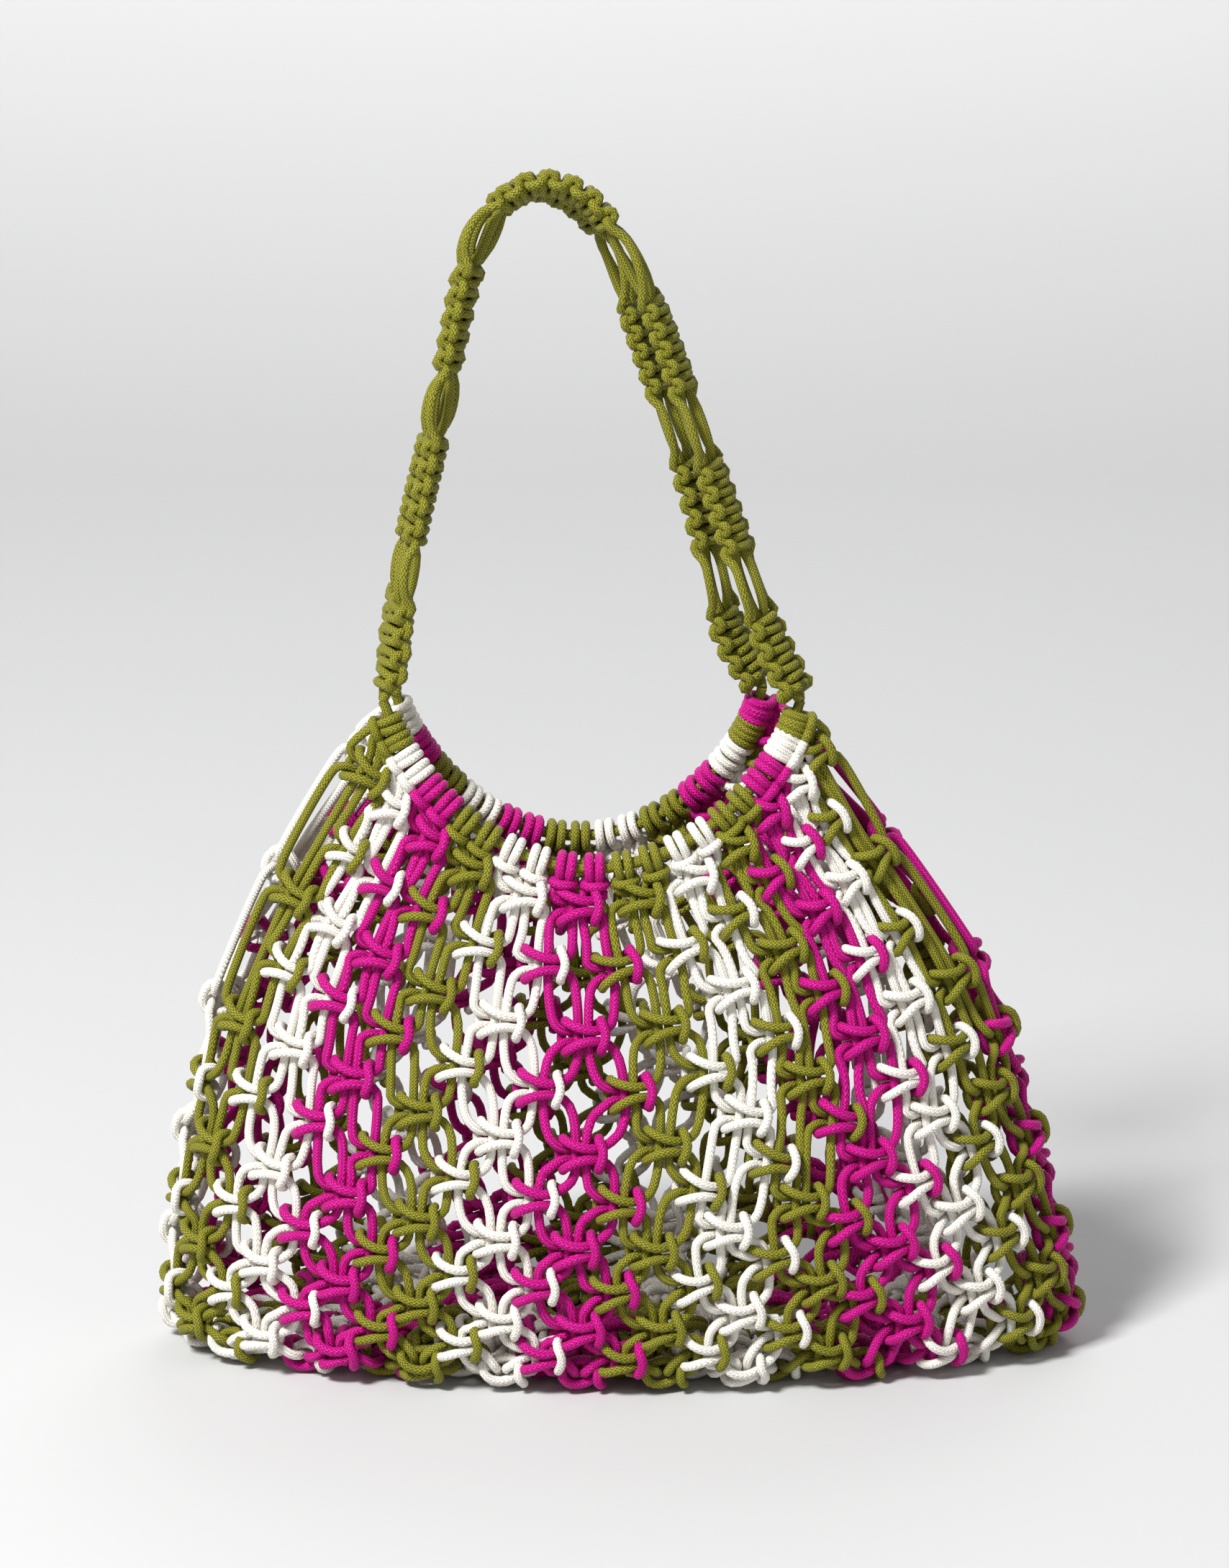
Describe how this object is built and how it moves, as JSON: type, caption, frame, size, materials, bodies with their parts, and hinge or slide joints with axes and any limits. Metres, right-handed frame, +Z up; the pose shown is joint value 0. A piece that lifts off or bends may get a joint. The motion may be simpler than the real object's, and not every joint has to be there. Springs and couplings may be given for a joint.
{
  "type": "knotted cord net shoulder bag",
  "caption": "Open net shoulder bag knotted from thick round cord in vertical colour stripes, with a corded rim and a double knotted strap.",
  "frame": {"origin": "middle of the bottom of the bounding box, on the surface the bag stands on", "axes": "+Z up, -Y the front panel, +X to the right seen from the front"},
  "size_m": [0.3984, 0.1578, 0.5083],
  "materials": {
    "cord_green": "matt braided polyester cord, olive and lime threads",
    "cord_white": "matt braided polyester cord, cream",
    "cord_pink": "matt braided polyester cord, bright pink"
  },
  "bodies": {
    "root": {"band_front_01_green": "cord_green", "band_front_02_white": "cord_white", "band_front_03_pink": "cord_pink", "band_front_04_green": "cord_green", "band_front_05_white": "cord_white", "band_front_06_pink": "cord_pink", "band_front_07_green": "cord_green", "band_front_08_white": "cord_white", "band_front_09_green": "cord_green", "band_front_10_pink": "cord_pink", "band_front_11_white": "cord_white", "band_front_12_green": "cord_green", "band_back_01_white": "cord_white", "band_back_02_pink": "cord_pink", "band_back_03_green": "cord_green", "band_back_04_white": "cord_white", "band_back_05_pink": "cord_pink", "band_back_06_green": "cord_green", "band_back_07_white": "cord_white", "band_back_08_green": "cord_green", "band_back_09_pink": "cord_pink", "band_back_10_white": "cord_white", "band_back_11_green": "cord_green", "band_back_12_pink": "cord_pink", "rim_core_front": "cord_green", "rim_core_back": "cord_green", "strap_front": "cord_green", "strap_back": "cord_green"}
  },
  "joints": []
}
